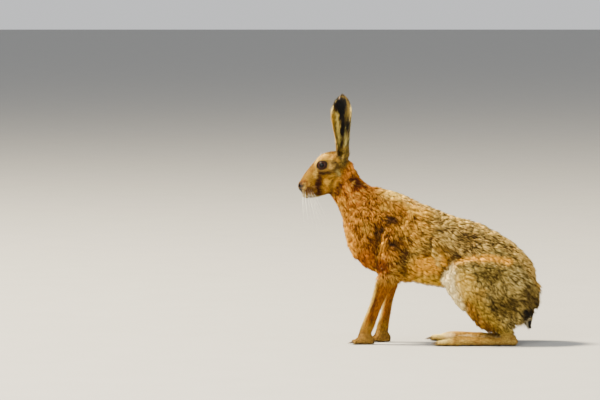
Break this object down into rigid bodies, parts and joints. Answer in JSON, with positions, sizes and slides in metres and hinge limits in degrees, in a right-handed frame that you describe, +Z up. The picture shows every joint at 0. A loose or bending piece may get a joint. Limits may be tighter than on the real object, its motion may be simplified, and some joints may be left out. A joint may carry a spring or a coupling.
{
  "type": "brown hare model",
  "caption": "Still, life-size brown hare sitting up on straight forelegs, with erect cupped ears, folded hind legs flat on the ground and a short hanging tail",
  "frame": {"origin": "the middle of the model's box, on the ground", "axes": "+Z up, -X the way the hare looks, -Y its left side"},
  "size_m": [0.443, 0.1538, 0.4532],
  "materials": {
    "coat": "short dense fur, tawny and grizzled with dark tips",
    "belly_coat": "longer fur, grizzled brown above and yellow-ochre on the flank and belly",
    "limb_coat": "very short fur, rufous on the legs and pale on the feet, with dark horn claws",
    "ear_coat": "thin fur, grey-brown, black at the tip, with a pale fringe",
    "eye": "wet, clear cornea over an amber-brown iris",
    "tail_coat": "long fur, black above and white below and at the sides"
  },
  "bodies": {
    "root": {"head": "coat", "neck": "coat", "chest": "coat", "loin_and_belly": "belly_coat", "tail": "tail_coat", "ear_left": "ear_coat", "ear_right": "ear_coat", "eye_left": "eye", "eye_right": "eye", "foreleg_left": "limb_coat", "foreleg_right": "limb_coat", "forepaw_left": "limb_coat", "forepaw_right": "limb_coat", "thigh_left": "coat", "thigh_right": "coat", "lower_leg_left": "coat", "lower_leg_right": "coat", "hind_foot_left": "limb_coat", "hind_foot_right": "limb_coat"}
  },
  "joints": []
}
